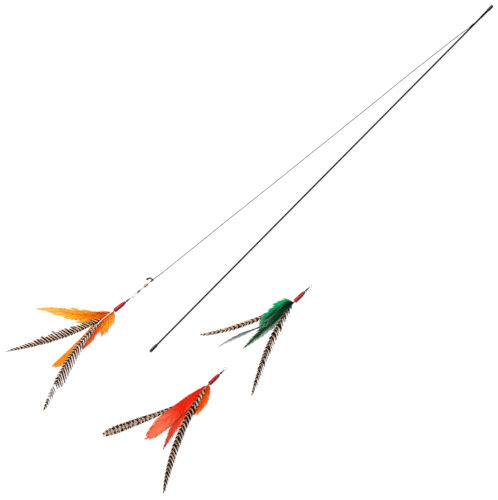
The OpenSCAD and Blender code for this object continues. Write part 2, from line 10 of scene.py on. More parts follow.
import bpy
import numpy as np
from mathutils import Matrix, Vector


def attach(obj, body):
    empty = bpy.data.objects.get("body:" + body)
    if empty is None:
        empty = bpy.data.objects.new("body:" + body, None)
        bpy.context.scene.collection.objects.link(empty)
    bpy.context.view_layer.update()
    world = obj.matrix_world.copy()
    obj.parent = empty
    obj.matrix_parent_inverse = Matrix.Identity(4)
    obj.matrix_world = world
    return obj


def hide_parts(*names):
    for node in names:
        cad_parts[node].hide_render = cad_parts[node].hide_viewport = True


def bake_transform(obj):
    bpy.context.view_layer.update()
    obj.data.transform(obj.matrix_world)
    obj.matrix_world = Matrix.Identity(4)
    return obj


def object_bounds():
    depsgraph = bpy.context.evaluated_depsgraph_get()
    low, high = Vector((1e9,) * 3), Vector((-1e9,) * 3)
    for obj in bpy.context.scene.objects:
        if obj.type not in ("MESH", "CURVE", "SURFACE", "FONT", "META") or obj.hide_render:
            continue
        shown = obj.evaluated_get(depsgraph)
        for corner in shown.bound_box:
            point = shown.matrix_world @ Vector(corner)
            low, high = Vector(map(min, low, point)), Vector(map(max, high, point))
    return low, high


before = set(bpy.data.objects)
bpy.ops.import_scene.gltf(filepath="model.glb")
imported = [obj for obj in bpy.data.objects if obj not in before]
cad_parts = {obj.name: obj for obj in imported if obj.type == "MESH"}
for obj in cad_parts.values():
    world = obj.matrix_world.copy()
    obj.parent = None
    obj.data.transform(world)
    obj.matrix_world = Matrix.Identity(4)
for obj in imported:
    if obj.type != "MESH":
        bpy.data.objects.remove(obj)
cad_box = [list(corner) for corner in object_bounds()]
MM = 0.001
FLOOR = cad_box[0][2]
print("CAD box", cad_box, "nodes", len(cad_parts))

# %% [markdown]
# ## Camera
# The toy is seen from straight above, turned so that the rod runs from the lower
# left to the upper right. A long lens far away keeps it free of perspective, and
# still fits the object in any other view.

# %% Camera
CAMERA_HEIGHT = 3.0
FIELD_OF_VIEW = 0.934
SENSOR = 36.0
VIEW_MIDDLE = (0.2652, 0.0023)
VIEW_TURN = np.radians(-45.291)
VIEW_DEPTH = 20.0
camera = bpy.data.objects.new("camera", bpy.data.cameras.new("camera"))
bpy.context.collection.objects.link(camera)
camera.data.lens = SENSOR * CAMERA_HEIGHT / FIELD_OF_VIEW
camera.location = (*VIEW_MIDDLE, CAMERA_HEIGHT)
camera.rotation_euler = (0, 0, VIEW_TURN)
camera.data.clip_end = VIEW_DEPTH
bpy.context.scene.camera = camera
print("lens", round(camera.data.lens, 1), "mm")

# %% [markdown]
# ## Lines that surfaces follow
# Cord, windings and quills are all tubes along a line. A line is smoothed through a few given points, then
# cut into equal steps, so that a braid drawn on it keeps its pitch from end to end.


# %% Smooth lines
def ease(t):
    """Smooth step: 3 t squared less 2 t cubed, held at 0 and 1 outside."""
    u = np.clip(t, 0, 1)
    return u * u * (3 - 2 * u)


def smooth(points, steps=24):
    """Cubic through points b and c whose slopes are half of c - a and of d - b."""
    p = np.asarray(points, float)
    ends = np.vstack([p[:1], p, p[-1:]])
    a, b, c, d = (ends[i : len(p) - 1 + i, None] for i in range(4))
    t = (np.arange(steps) / steps)[None, :, None]
    curve = b + t * (c - a) / 2 + t**2 * (a - 2.5 * b + 2 * c - d / 2) + t**3 * (3 * (b - c) + d - a) / 2
    return np.vstack([curve.reshape(-1, 3), p[-1:]])


def run_of(line):
    """Distance along a line: the running sum of its steps' lengths."""
    return np.append(0, np.cumsum(np.linalg.norm(np.diff(line, axis=0), axis=1)))


def even(line, step):
    """The same line with points a step apart, read off its running distance."""
    run = run_of(line)
    marks = np.linspace(0, run[-1], max(8, int(run[-1] / step)))
    return np.stack([np.interp(marks, run, line[:, i]) for i in range(3)], axis=1)


# %% [markdown]
# ## Tubes
# A tube has one ring of points for each point of the line, set out on two
# directions square to it. Its radius may change from point to point, which is how
# the braid stands up from the cord.


# %% Tube grid and closed mesh
CM_IN_METRE = 100


def unit(v):
    """Each vector divided by its own length."""
    return v / np.linalg.norm(v, axis=-1, keepdims=True)


def tube_grid(line, radius, sides, hint=(0, 0, 1)):
    """Point of ring i, side k: line + radius (cos of the angle on the side direction, plus
    sin on the up direction). Side is hint cross tangent, and up is tangent cross side."""
    tangent = unit(np.gradient(line, axis=0))
    side = unit(np.cross(np.broadcast_to(hint, line.shape), tangent))
    up = np.cross(tangent, side)
    angle = 2 * np.pi * np.arange(sides) / sides
    spokes = np.cos(angle)[None, :, None] * side[:, None] + np.sin(angle)[None, :, None] * up[:, None]
    r = np.broadcast_to(np.asarray(radius, float), (len(line), sides))
    return line[:, None] + r[..., None] * spokes


def tube_faces(rings, sides):
    """Quads round a tube, counted ring by ring, and one flat face on each end."""
    i, k = np.meshgrid(np.arange(rings - 1), np.arange(sides), indexing="ij")
    n = (k + 1) % sides
    quads = np.stack([i * sides + k, i * sides + n, (i + 1) * sides + n, (i + 1) * sides + k], -1)
    start = list(range(sides - 1, -1, -1))
    end = [(rings - 1) * sides + s for s in range(sides)]
    return quads.reshape(-1, 4), start, end


def put_together(name, points, faces, material, smooth_faces=True):
    """A mesh piece at the origin, with its place in its points."""
    mesh = bpy.data.meshes.new(name)
    mesh.from_pydata(np.asarray(points, float), [], faces)
    mesh.polygons.foreach_set("use_smooth", [smooth_faces] * len(mesh.polygons))
    mesh.materials.append(material)
    mesh.update()
    piece = bpy.data.objects.new(name, mesh)
    bpy.context.collection.objects.link(piece)
    return piece


def tube_piece(name, line, radius, sides, material, hint=(0, 0, 1)):
    """A closed tube with a UV map: distance along it in centimetres, and turns round it."""
    grid = tube_grid(line, radius, sides, hint)
    quads, start, end = tube_faces(len(line), sides)
    piece = put_together(name, grid.reshape(-1, 3), quads.tolist() + [start, end], material)
    run = run_of(line) * CM_IN_METRE
    i, k = np.meshgrid(np.arange(len(line) - 1), np.arange(sides), indexing="ij")
    u = np.stack([run[i], run[i], run[i + 1], run[i + 1]], -1).reshape(-1)
    v = np.stack([k, k + 1, k + 1, k], -1).reshape(-1) / sides
    uv = np.zeros((len(piece.data.loops), 2))
    uv[: len(u), 0], uv[: len(v), 1] = u, v
    uv[-sides:, 0] = run[-1]
    piece.data.uv_layers.new(name="lay").data.foreach_set("uv", uv.ravel())
    return piece


# %% [markdown]
# ## Shader arithmetic
# A finish is a few patterns added and multiplied together. A small class wraps a
# socket, so that sums are written as Python and their Math nodes come by
# themselves. Every other node comes from one method.


# %% Signals and finishes
class Signal:
    """One socket of a finish. Arithmetic on it adds a Math node."""

    def __init__(self, finish, socket):
        self.finish, self.socket = finish, socket

    def math(self, operation, first, second=0.0):
        """One Math node on two values."""
        return self.finish.node("Math", {"operation": operation}, {0: first, 1: second})

    def __add__(self, other):
        return self.math("ADD", self, other)

    def __sub__(self, other):
        return self.math("SUBTRACT", self, other)

    def __rsub__(self, other):
        return self.math("SUBTRACT", other, self)

    def __mul__(self, other):
        return self.math("MULTIPLY", self, other)

    __radd__ = __add__
    __rmul__ = __mul__

    def size(self):
        """The value without its sign."""
        return self.math("ABSOLUTE", self)


class Nodes:
    """The nodes of a finish or of the sky."""

    def __init__(self, tree):
        self.tree = tree

    def feed(self, socket, value):
        """Links a signal to a socket, or sets the socket's own value."""
        if isinstance(value, Signal):
            self.tree.links.new(value.socket, socket)
        elif socket.type == "RGBA" and len(value) == 3:
            socket.default_value = (*value, 1)
        else:
            socket.default_value = value

    def node(self, kind, settings=None, sockets=None, output=0):
        """Adds a shader node: its settings, then its sockets. Gives back one of its outputs."""
        node = self.tree.nodes.new("ShaderNode" + kind)
        for name, value in (settings or {}).items():
            setattr(node, name, value)
        for name, value in (sockets or {}).items():
            self.feed(node.inputs[name], value)
        return Signal(self, node.outputs[output])


class Finish(Nodes):
    """A material with one Principled shader, and the nodes that feed it."""

    def __init__(self, name, **constants):
        self.material = bpy.data.materials.new(name)
        self.material.use_nodes = True
        super().__init__(self.material.node_tree)
        self.shader = self.tree.nodes["Principled BSDF"]
        self.set(**constants)

    def set(self, **values):
        """Base_Color=..., Roughness=... and so on, as a number, a colour or a signal."""
        for name, value in values.items():
            self.feed(self.shader.inputs[name.replace("_", " ")], value)

    def mix(self, factor, a, b, blend="MIX"):
        """Colour a where factor is 0, and b where it is 1."""
        settings = {"data_type": "RGBA", "blend_type": blend, "clamp_factor": True}
        return self.node("Mix", settings, {0: factor, 6: a, 7: b}, 2)

    def coat(self, share, low, high, rough):
        """Colour from low to high by a share, and the roughness."""
        self.set(Base_Color=self.mix(share, low, high), Roughness=rough)

    def stretch(self, where, scale):
        """Coordinates multiplied by a scale for each axis."""
        return self.node("Mapping", {}, {"Vector": where, "Scale": scale})

    def noise(self, where, detail, scale=1.0):
        """Cloudy grain between 0 and 1."""
        sockets = {"Vector": where, "Scale": scale, "Detail": detail, "Roughness": 0.55}
        return self.node("TexNoise", {"noise_dimensions": "3D"}, sockets)

    def grain(self, across, detail, along=None):
        """Noise with so many grains to a metre across the piece, and along X if that differs."""
        where = self.node("TexCoord", output="Object")
        return self.noise(self.stretch(where, (along or across, across, across)), detail)

    def bump(self, height, strength, distance):
        """Relief: the height's part, up to a distance in metres."""
        sockets = {"Height": height, "Strength": strength, "Distance": distance}
        self.set(Normal=self.node("Bump", {}, sockets))

    def band(self, value, low, high):
        """0 below low, 1 above high, and straight between."""
        sockets = {"Value": value, "From Min": low, "From Max": high}
        return self.node("MapRange", {"clamp": True}, sockets)

    def shaded(self, colour, value, low, high):
        """Colour times a grey that goes from low to high with a value from 0 to 1."""
        grey = self.node("MapRange", {}, {"Value": value, "To Min": low, "To Max": high})
        grey = self.node("CombineColor", {}, {0: grey, 1: grey, 2: grey})
        return self.mix(1.0, colour, grey, "MULTIPLY")


def dress(finish, *names):
    """Gives CAD nodes a finish, in the slots of their own objects."""
    for name in names:
        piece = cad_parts[name]
        for slot in piece.material_slots:
            slot.material = finish.material
        print("dressed", name, "with", finish.material.name)


# %% [markdown]
# ## Cord
# The cord is a round braid of eight black polyester strands, four laid one way and
# four the other. Two crossed waves round and along the tube give the same ridges:
# at each place the higher of the two shows. The waves are cut into the mesh
# itself, and the finish adds the fibres.

# %% Cord finish
braid = Finish("braided_cord", Roughness=0.8, Specular_IOR_Level=0.04)
lay = braid.node("TexCoord", output="UV")
fibres = braid.noise(braid.stretch(lay, (60, 24, 1)), 5.0)
patches = braid.noise(braid.stretch(lay, (3, 2, 1)), 3.0)
worn = braid.band(fibres * 0.6 + patches * 0.4, 0.5, 0.72)
braid.set(Base_Color=braid.mix(worn, (0.001, 0.001, 0.0011), (0.008, 0.0078, 0.008)))
braid.bump(fibres, 0.35, 0.0001)


# %% Braid relief
CORD_D = 1.3 * MM
CORD_SIDES = 16
CORD_STEP = 0.25 * MM
STRANDS = 4
CROSSING = 1.15 * MM
RIDGE = 0.08
LEAN = 0.15


def braid_radius(line, sides, radius):
    """Radius, less the ridge's share, plus that share of the higher wave. Each wave is the
    absolute cosine of half the strands' angle plus or minus pi times the distance over a
    crossing's length. The two ways of laying stand over each other by turns."""
    run = run_of(line)[:, None]
    angle = 2 * np.pi * np.arange(sides)[None] / sides * STRANDS / 2
    turn = np.pi * run / CROSSING
    over = LEAN * np.sin(2 * angle)
    ridge = np.maximum(np.abs(np.cos(angle + turn)) * (1 + over), np.abs(np.cos(angle - turn)) * (1 - over))
    r = np.broadcast_to(np.asarray(radius, float).reshape(-1, 1), (len(line), 1))
    return r * (1 - RIDGE + RIDGE * np.minimum(ridge, 1))


def cord_piece(name, points, body, *nodes, radius=CORD_D / 2, hint=(0, 0, 1), steps=24):
    """Braid through points in millimetres, in place of CAD nodes. Its radius may be a row of
    values, spread evenly along it, and its hint a function of the line."""
    line = even(smooth(np.asarray(points) * MM, steps), CORD_STEP)
    run = run_of(line)
    if np.ndim(radius):
        radius = np.interp(run, np.linspace(0, run[-1], len(radius)), radius)
    if callable(hint):
        hint = hint(line)
    braided = braid_radius(line, CORD_SIDES, radius)
    piece = tube_piece(name, line, braided, CORD_SIDES, braid.material, hint)
    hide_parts(*nodes)
    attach(piece, body)
    print(name, round(run[-1] / MM, 1), "mm of cord,", len(piece.data.polygons), "faces")
    return piece


# %% [markdown]
# ### Free cord
# It leaves the rod's side, sinks to the surface and runs back in one shallow curve to the knot at the
# swivel, by the points of the CAD cord. Its first 6 mm are the elbow, a piece of its own on no body, as a
# free cord rides on one body only.

# %% Free cord
ROUTE = [
    (848.7, 2.35, 0), (845, 2.8, -0.1), (838, 4.1, -0.6), (828, 5.7, -1.6), (815, 7.5, -2.15),
    (795, 10, -2.2), (760, 14.4, -2.2), (726, 18.7, -2.2), (680, 24, -2.2), (632, 29, -2.2),
    (585, 34.5, -2.2), (538, 39.7, -2.2), (490, 45.3, -2.2), (443, 50.7, -2.2), (396, 56, -2.2),
    (350, 61.5, -2.2), (303, 67, -2.2), (256, 72.5, -2.2), (209, 77.6, -2.2), (162, 82.9, -2.2),
    (130, 86.4, -2.2), (116, 88.3, -1.9), (110, 89.2, -1), (106, 89.95, -0.3), (102.4, 90.45, -0.1),
    (98.9, 90.8, -0.1),
]  # fmt: skip
ELBOW = 24
string_line = even(smooth(np.array(ROUTE) * MM), CORD_STEP)
string_radius = braid_radius(string_line, CORD_SIDES, CORD_D / 2)


def string_piece(name, part):
    """The steps of the string's line that part holds, in place of the CAD string."""
    piece = tube_piece(name, string_line[part], string_radius[part], CORD_SIDES, braid.material)
    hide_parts("string")
    print(name, round(run_of(string_line[part])[-1] / MM, 1), "mm,", len(piece.data.polygons), "faces")
    return piece


string = string_piece("free_cord", slice(ELBOW, None))
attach(string, "string_line")
elbow = string_piece("cord_elbow", slice(0, ELBOW + 1))
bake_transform(elbow)

# %% [markdown]
# ### Knot
# The cord goes through the swivel's eye, back beside itself, and round both
# strands in two turns, then leaves as the tag, which is doubled, fused and ends
# in a melted bead. The turns are an ellipse, because they go round two strands.

# %% Knot's frame
KNOT = np.array(ROUTE[-1])
CHAIN_TURN = np.radians(174)


def along_chain(points):
    """Points given from the knot towards the lure, turned and moved to the knot."""
    p = np.asarray(points, float)
    c, s = np.cos(CHAIN_TURN), np.sin(CHAIN_TURN)
    return KNOT + np.stack([c * p[:, 0] - s * p[:, 1], s * p[:, 0] + c * p[:, 1], p[:, 2]], axis=1)


# %% Loop through the eye
LOOP_IN = [(0.2, -0.5, 0.1), (1.9, -0.8, 0.0)]
LOOP_OUT = [(1.9, 0.8, 0.0), (0.2, 0.5, -0.1)]
EYE_AT = 3.5
LOOP_R = 1.15
bend = np.linspace(-np.pi / 2, np.pi / 2, 9)
round_eye = np.stack([EYE_AT + LOOP_R * np.cos(bend), LOOP_R * np.sin(bend), 0 * bend], 1)
loop_points = along_chain(np.vstack([LOOP_IN, round_eye, LOOP_OUT]))
loop = cord_piece("knot_loop", loop_points, "string_line", "string_loop")

# %% Knot's turns
KNOT_TURNS = 2
TURN_STEPS = 24
KNOT_REACH, KNOT_WIDE, KNOT_HIGH = 1.2, 1.35, 1.2
turn_angle = np.linspace(0, 2 * np.pi * KNOT_TURNS, TURN_STEPS * KNOT_TURNS) + np.pi
knot_along = np.linspace(KNOT_REACH, -KNOT_REACH, len(turn_angle))
knot_points = along_chain(
    np.stack([knot_along, KNOT_WIDE * np.cos(turn_angle), KNOT_HIGH * np.sin(turn_angle)], 1)
)


def from_knot_axis(line):
    """Direction from the knot's axis out to each point of the line."""
    axis = unit(np.array([np.cos(CHAIN_TURN), np.sin(CHAIN_TURN), 0]))
    rel = line - KNOT * MM
    return unit(rel - (rel @ axis)[:, None] * axis)


knot = cord_piece("knot_turns", knot_points, "string_line", "string_knot", hint=from_knot_axis, steps=2)

# %% Tag, and the cord's own words
TAG = [
    (99.2, 91.6, 0.6), (98.7, 92.4, 0.2), (98.7, 93.4, -0.5), (98.8, 95, -0.8), (98, 96.6, -0.95),
    (96.6, 97.9, -1), (94.8, 98.7, -1.05), (92.8, 99, -1.1), (90.7, 98.9, -1.1),
]  # fmt: skip
TAG_RADII = np.array([0.65, 1.0, 1.3, 1.4, 1.4, 1.35, 1.35, 1.5, 1.75, 1.85, 1.75, 1.1]) * MM
tag = cord_piece("knot_tag", TAG, "string_line", "string_tag", radius=TAG_RADII)

# %% [markdown]
# ### Anchored end
# At the tip the cord lies along the rod, climbs from its side to its top and goes
# on under the shrunk sleeve. Its place is an angle round the rod at a fixed
# radius, which eases from 0 to 60 degrees over the climb.

# %% Anchored end
ON_ROD_R = 2.3
ANCHOR_FROM, ANCHOR_TO = 848.55, 895.7
CLIMB_FROM, CLIMB_LEN = 849.7, 16.0
CLIMB_TO = np.radians(60)
anchor_x = np.append(ANCHOR_FROM, np.linspace(CLIMB_FROM, ANCHOR_TO, 120))
anchor_a = CLIMB_TO * ease((anchor_x - CLIMB_FROM) / CLIMB_LEN)
anchor_points = np.stack([anchor_x, ON_ROD_R * np.cos(anchor_a), ON_ROD_R * np.sin(anchor_a)], 1)
cord_piece("anchored_end", anchor_points, "wand", "string_anchor", steps=1)

# %% [markdown]
# ## Rod, caps and sleeve
# The rod is drawn glass fibre with long fine streaks and a soft gloss. The caps
# are dipped in liquid vinyl, which leaves a wet gloss and an uneven skin. The
# sleeve is shrunk film, duller, with tiny creases across it.

# %% Black finishes
rod_finish = Finish("black_glass_fibre", Specular_IOR_Level=0.08)
streaks = rod_finish.grain(2600, 6.0, along=30)
scuffs = rod_finish.grain(260, 3.0, along=9)
streaked = rod_finish.band(streaks, 0.4, 0.75)
rod_finish.coat(streaked, (0.0008, 0.0008, 0.001), (0.004, 0.004, 0.0044), 0.3 + 0.2 * scuffs)
rod_finish.bump(streaks, 0.15, 0.0001)

vinyl = Finish("dipped_vinyl", Specular_IOR_Level=0.4)
sag = vinyl.grain(420, 2.0, along=160)
dust = vinyl.grain(3200, 2.0)
dusty = vinyl.band(dust, 0.66, 0.76)
vinyl.coat(dusty, (0.001, 0.001, 0.0012), (0.008, 0.0075, 0.008), 0.16 + 0.12 * vinyl.band(dust, 0.5, 0.75))
vinyl.bump(sag, 0.12, 0.0002)

film = Finish("shrunk_film", Specular_IOR_Level=0.06)
creases = film.grain(300, 4.0, along=2600)
film.coat(creases, (0.001, 0.001, 0.0012), (0.005, 0.005, 0.0054), 0.4 + 0.22 * creases)
film.bump(creases, 0.4, 0.00015)
dress(rod_finish, "rod")
dress(vinyl, "handle_cap", "tip_cap")
dress(film, "tip_sleeve")

# %% [markdown]
# ## Metal parts
# Eyes and snap are bright drawn wire, with fine lines from the die. The barrel and
# the clasp plate are pressed brass, a little browned where fingers don't reach.
# The lure's shank is bound in dark lacquered wire.

# %% Metal finishes
COLOURS = ("orange", "green", "red")
steel = Finish("drawn_steel_wire", Metallic=1.0)
lines = steel.grain(900, 6.0)
steel.coat(lines, (0.3, 0.29, 0.28), (0.62, 0.6, 0.58), 0.26 + 0.2 * steel.band(lines, 0.35, 0.8))
steel.bump(lines, 0.2, 0.00008)

brass = Finish("pressed_brass", Metallic=1.0)
tarnish = brass.grain(420, 5.0)
pressed = brass.grain(2400, 3.0)
browned = brass.band(tarnish, 0.42, 0.66)
brass.coat(browned, (0.42, 0.28, 0.165), (0.17, 0.105, 0.06), 0.25 + 0.25 * brass.band(tarnish, 0.4, 0.7))
brass.bump(pressed, 0.15, 0.00008)

lacquer = Finish("lacquered_wire", Specular_IOR_Level=0.2)
rub = lacquer.grain(1500, 4.0)
rubbed = lacquer.band(rub, 0.6, 0.75)
lacquer.coat(rubbed, (0.004, 0.002, 0.0015), (0.035, 0.018, 0.014), 0.3 + 0.25 * rub)
lacquer.bump(rub, 0.2, 0.00008)
dress(steel, "swivel_upper_eye", "swivel_lower_eye", "snap_frame", "snap_gate")
dress(steel, *(c + "_lure_eye" for c in COLOURS))
dress(brass, "swivel_barrel", "snap_plate")

# %% [markdown]
# ## Lure frames
# Each lure has its own frame, as in the CAD model, with the middle of its cap's
# mouth at zero and its feathers towards +X.

# %% Lure frames
CAP_R = 4.0
LURE_Z = FLOOR / MM + CAP_R
MOUTHS = {
    "orange": (7.78, 101.10, 173.0),
    "green": (257.0, -126.0, 178.7),
    "red": (35.0, -121.0, 178.3),
}
BODIES = {c: c + "_lure" for c in COLOURS}


def in_lure(colour, p):
    """Points in millimetres in a lure's frame, turned, moved and given in metres in the CAD's."""
    x, y, turn = MOUTHS[colour]
    c, s = np.cos(np.radians(turn)), np.sin(np.radians(turn))
    px, py, pz = p[..., 0], p[..., 1], p[..., 2]
    return np.stack([x + c * px - s * py, y + s * px + c * py, LURE_Z + pz], -1) * MM


# %% [markdown]
# ## Lure caps and glue
# Each lure's cap is a moulded bullet of clear red plastic. Light goes through the
# wall of its hollow part, which is a deep red, and gets lost in the solid nose,
# which is nearly black. Glass shading would need light through two walls to show
# this, so the colour changes along the cap instead. Hot glue holds the quills.

# %% Cap and glue finishes
NOSE_DARK, NOSE_ENDS = -25.5, -18.5


def cap_finish(colour):
    """Clear red plastic. Millimetres along the cap come from Object coordinates turned back
    into the lure's frame: the solid nose is nearly black, and the hollow part red."""
    f = Finish(colour + "_cap_plastic", IOR=1.48, Specular_IOR_Level=0.35)
    x, y, turn = MOUTHS[colour]
    frame_back = {"Location": (x * MM, y * MM, 0), "Rotation": (0, 0, np.radians(turn))}
    frame_back["Scale"] = (MM, MM, MM)
    where = f.node("TexCoord", output="Object")
    where = f.node("Mapping", {"vector_type": "TEXTURE"}, {"Vector": where, **frame_back})
    along = f.node("SeparateXYZ", {}, {"Vector": where})
    flow = f.noise(where, 3.0, scale=0.12)
    body = f.mix(flow, (0.3, 0.0, 0.001), (0.42, 0.0, 0.003))
    hollow = f.band(along + flow * 2, NOSE_DARK, NOSE_ENDS)
    f.coat(hollow, (0.04, 0.0002, 0.001), body, 0.08 + 0.08 * flow)
    f.bump(flow, 0.02, 0.0002)
    return f


glue = Finish("hot_glue", Roughness=0.35, Subsurface_Weight=0.2, Subsurface_Scale=0.001)
lumps = glue.grain(700, 3.0)
glue.set(Base_Color=glue.mix(lumps, (0.72, 0.55, 0.34), (0.86, 0.76, 0.6)))
glue.bump(lumps, 0.5, 0.0003)
for colour in COLOURS:
    dress(cap_finish(colour), colour + "_lure_cap")
dress(glue, *(c + "_lure_plug" for c in COLOURS))

# %% [markdown]
# ### Wire binding
# Dark wire is wound round the shank between the eye and the cap. It is a winding:
# the angle and the distance grow together, while the radius widens.

# %% Binding
BIND_FROM, BIND_LEN = -37.55, 9.65
BIND_THIN, BIND_GROWS = 0.85, 0.95
BIND_WIRE, WIRE_BARE = 0.9, 0.65
BIND_TURNS, BIND_STEPS, BIND_SIDES = 9, 26, 10


def binding(colour):
    """Winding whose radius grows evenly, while the wire swells under its lacquer."""
    u = np.linspace(0, 1, BIND_STEPS * BIND_TURNS)
    a = np.pi / 2 + 2 * np.pi * BIND_TURNS * u
    r = BIND_THIN + BIND_GROWS * u
    line = in_lure(colour, np.stack([BIND_FROM + BIND_LEN * u, r * np.cos(a), r * np.sin(a)], 1))
    turn = np.radians(MOUTHS[colour][2])
    hint = (np.cos(turn), np.sin(turn), 0)
    thick = (WIRE_BARE + (1 - WIRE_BARE) * u[:, None]) * BIND_WIRE / 2 * MM
    piece = tube_piece(colour + "_binding", line, thick, BIND_SIDES, lacquer.material, hint)
    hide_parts(colour + "_lure_binding")
    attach(piece, BODIES[colour])
    print(piece.name, BIND_TURNS, "turns,", len(piece.data.polygons), "faces")


for colour in COLOURS:
    binding(colour)

# %% [markdown]
# ## Feathers
# A feather is a shaft with several hundred barbs on each side. It could be a
# flat card, but a card shows no splits, so each barb is a closed blade that
# leaves the shaft at an angle, bends towards the tip and narrows. Neighbouring
# barbs hook together in life, which makes the smooth vane, and let go in places,
# which makes the splits. So barbs are dealt into tufts whose ends lean together,
# and on a barred feather a tuft is one bar. Down each side runs a beat that
# counts the tufts, and a tuft's barbs share its luck. All this is in its look.


# %% Shaft and vane outline
SHAFT_STEPS = 280
CAD_STEPS = 28
BORE_R = 3.1
SOCKET = 7.5
SETTLE = 70.0
LOWEST, LAYER_STEP = 0.5, 0.8


def shaft_of(look, layer, layers):
    """Heading at share u: heading + curve u + sway u squared, halved over the first step. The
    shaft is its running sum. Height eases from the socket's to the resting one."""
    u = (np.arange(SHAFT_STEPS) + 0.5) / SHAFT_STEPS
    heading = look.heading + look.curve * u + look.sway * u * u
    a = np.radians(heading * np.where(u * CAD_STEPS < 1, 0.5, 1.0))
    step = look.long / SHAFT_STEPS
    t = np.linspace(0, 1, SHAFT_STEPS + 1)
    socket_z = layer - (layers - 1) / 2
    rest_z = LOWEST + LAYER_STEP * layer - CAP_R
    x = np.append(0, np.cumsum(step * np.cos(a)))
    y = np.append(0, np.cumsum(step * np.sin(a))) + look.socket * BORE_R
    z = socket_z + (rest_z - socket_z) * ease(t * look.long / SETTLE)
    return {"t": t, "x": x, "y": y, "z": z, "a": np.append(a, a[-1])}


def vane_edge(t, side, look):
    """Half wave from the vane's start to the tip, moved to peak at the peak share, raised to 1
    less bluntness, times half the width. It is wider on the left by the lean, and each side
    has a trim: shares read between a few places."""
    u = np.clip((t - look.start) / (1 - look.start), 0, 1)
    wave = np.clip(np.sin(np.pi * u ** (np.log(0.5) / np.log(look.peak))), 0, 1)
    half = look.wide / 2 * wave ** (1 - look.blunt) * (1 + side * look.lean)
    left = np.interp(t, *np.transpose(look.left))
    right = np.interp(t, *np.transpose(look.right))
    return half * np.where(side > 0, left, right)


# %% Tufts
BEAT_MARKS = 500
MOST_TUFTS = 600
VANE_END = 0.995


def wander(count, knots, rng):
    """Smooth random line between -1 and 1 through a few random knots."""
    return np.interp(np.linspace(0, 1, count), np.linspace(0, 1, knots), rng.uniform(-1, 1, knots))


def beat(look, rng):
    """How many tufts lie before each place along the shaft: the running sum of one over the
    pitch, which goes from its near to its far value, shaken by a share of a tuft."""
    marks = np.linspace(0, 1.3 * look.long, BEAT_MARKS)
    pitch = np.interp(marks, (0, look.long), look.pitch)
    count = np.append(0, np.cumsum(np.diff(marks) / pitch[1:]))
    knots = max(4, int(1.3 * count[-1]))
    shaken = count + look.shake * wander(BEAT_MARKS, knots, rng)
    return marks, np.maximum.accumulate(np.maximum(shaken, 0))


def deal_barbs(look, rng):
    """Both sides' barbs, even but for chance. Place is where a barb lies in its tuft: the
    beat's part after the point, spread from -1 to 1."""
    span = VANE_END - look.start
    each = int(look.per_mm * look.long * span)
    side = np.repeat([1.0, -1.0], each)
    t = np.tile(np.linspace(look.start, VANE_END, each), 2)
    t += rng.uniform(-0.45, 0.45, 2 * each) * span / each
    beats = [beat(look, rng), beat(look, rng)]
    halves = zip(np.split(t, 2), beats)
    number = np.concatenate([np.interp(half * look.long, *line) for half, line in halves])
    luck = rng.normal(0, 1, (2, MOST_TUFTS, 3))
    barbs = SimpleNamespace(t=t, side=side, beats=beats, place=2 * (number % 1) - 1)
    barbs.luck = luck[(side < 0).astype(int), number.astype(int)]
    barbs.loose = np.interp(t, (0, 0.35, 1), look.loose)
    barbs.angle = np.radians(np.interp(t, (0, 0.5, 1), look.angle))
    return barbs


# %% [markdown]
# ### Barbs as arrays
# All barbs of a feather are worked out at once: barb by step by corner. A barb
# turns along its length, and its points are the running sum of small steps. The
# place where its end meets the vane's outline is found by a few rounds of
# guessing, so the outline holds at any angle.


# %% Length and direction of each barb
BARB_STEPS = 7
BARB_SHARE = np.linspace(0, 1, BARB_STEPS)[None]
ROUNDS = 8
SHORTEST = 0.25


def barb_reach(barbs, look, rng):
    """Length at which a barb's end meets the outline: the outline's distance over the mean
    sine of the barb's angle. Tufts are ragged, and notched where they part."""
    t, side = barbs.t, barbs.side
    middle = (BARB_SHARE[:, 1:] + BARB_SHARE[:, :-1]) / 2
    lying = barbs.angle[:, None] * (1 - look.bend * middle)
    sine, cosine = np.sin(lying).mean(1), np.cos(lying).mean(1)
    out = vane_edge(t, side, look)
    for _ in range(ROUNDS):
        out = (out + vane_edge(t + out * cosine / sine / look.long, side, look)) / 2
    out *= 1 + 0.03 * rng.normal(0, 1, len(t))
    tufted = 1 + barbs.loose * (look.ragged * barbs.luck[:, 0] - look.notch * barbs.place**2)
    return np.maximum(out * np.clip(tufted, 0.2, 1.35), SHORTEST) / sine


def barb_turns(barbs, reach, look, rng):
    """Angle between barb and shaft at each step: the barb's own less its bend, the lean and
    swing of its tuft, and its own stray and curl."""
    q, angle, loose = BARB_SHARE, barbs.angle, barbs.loose
    pitch = np.interp(barbs.t, (0, 1), look.pitch)
    lean = barbs.place * pitch * look.gather / (reach * np.sin(angle))
    wild = np.where(rng.uniform(0, 1, len(reach)) < look.wild, 5.0, 1.0)
    stray = np.radians(look.stray) * wild * loose * rng.normal(0, 1, len(reach))
    curl = np.radians(look.curl) * wild * loose * rng.normal(0, 1, len(reach))
    swing = np.radians(look.swing) * loose * barbs.luck[:, 1]
    turn = angle[:, None] * (1 - look.bend * q)
    turn += (np.clip(lean, -0.45, 0.45) + swing)[:, None] * q
    return turn + (stray[:, None] * (0.3 + 0.7 * q) + curl[:, None] * q**2)


def barb_walk(barbs, reach, turn):
    """Running sums of small steps: forward along the shaft, and across it."""
    mid = (turn[:, 1:] + turn[:, :-1]) / 2
    step = reach[:, None] / (BARB_STEPS - 1)
    start = np.zeros((len(reach), 1))
    forward = np.hstack([start, np.cumsum(step * np.cos(mid), 1)])
    across = barbs.side[:, None] * np.hstack([start, np.cumsum(step * np.sin(mid), 1)])
    return forward, across


# %% Surface and pigment of each barb
MM_IN_CM = 10
CORNERS = 3
BARB_THICK = 0.07
FLOOR_GAP = 0.12
SOFT_EDGE = 0.1


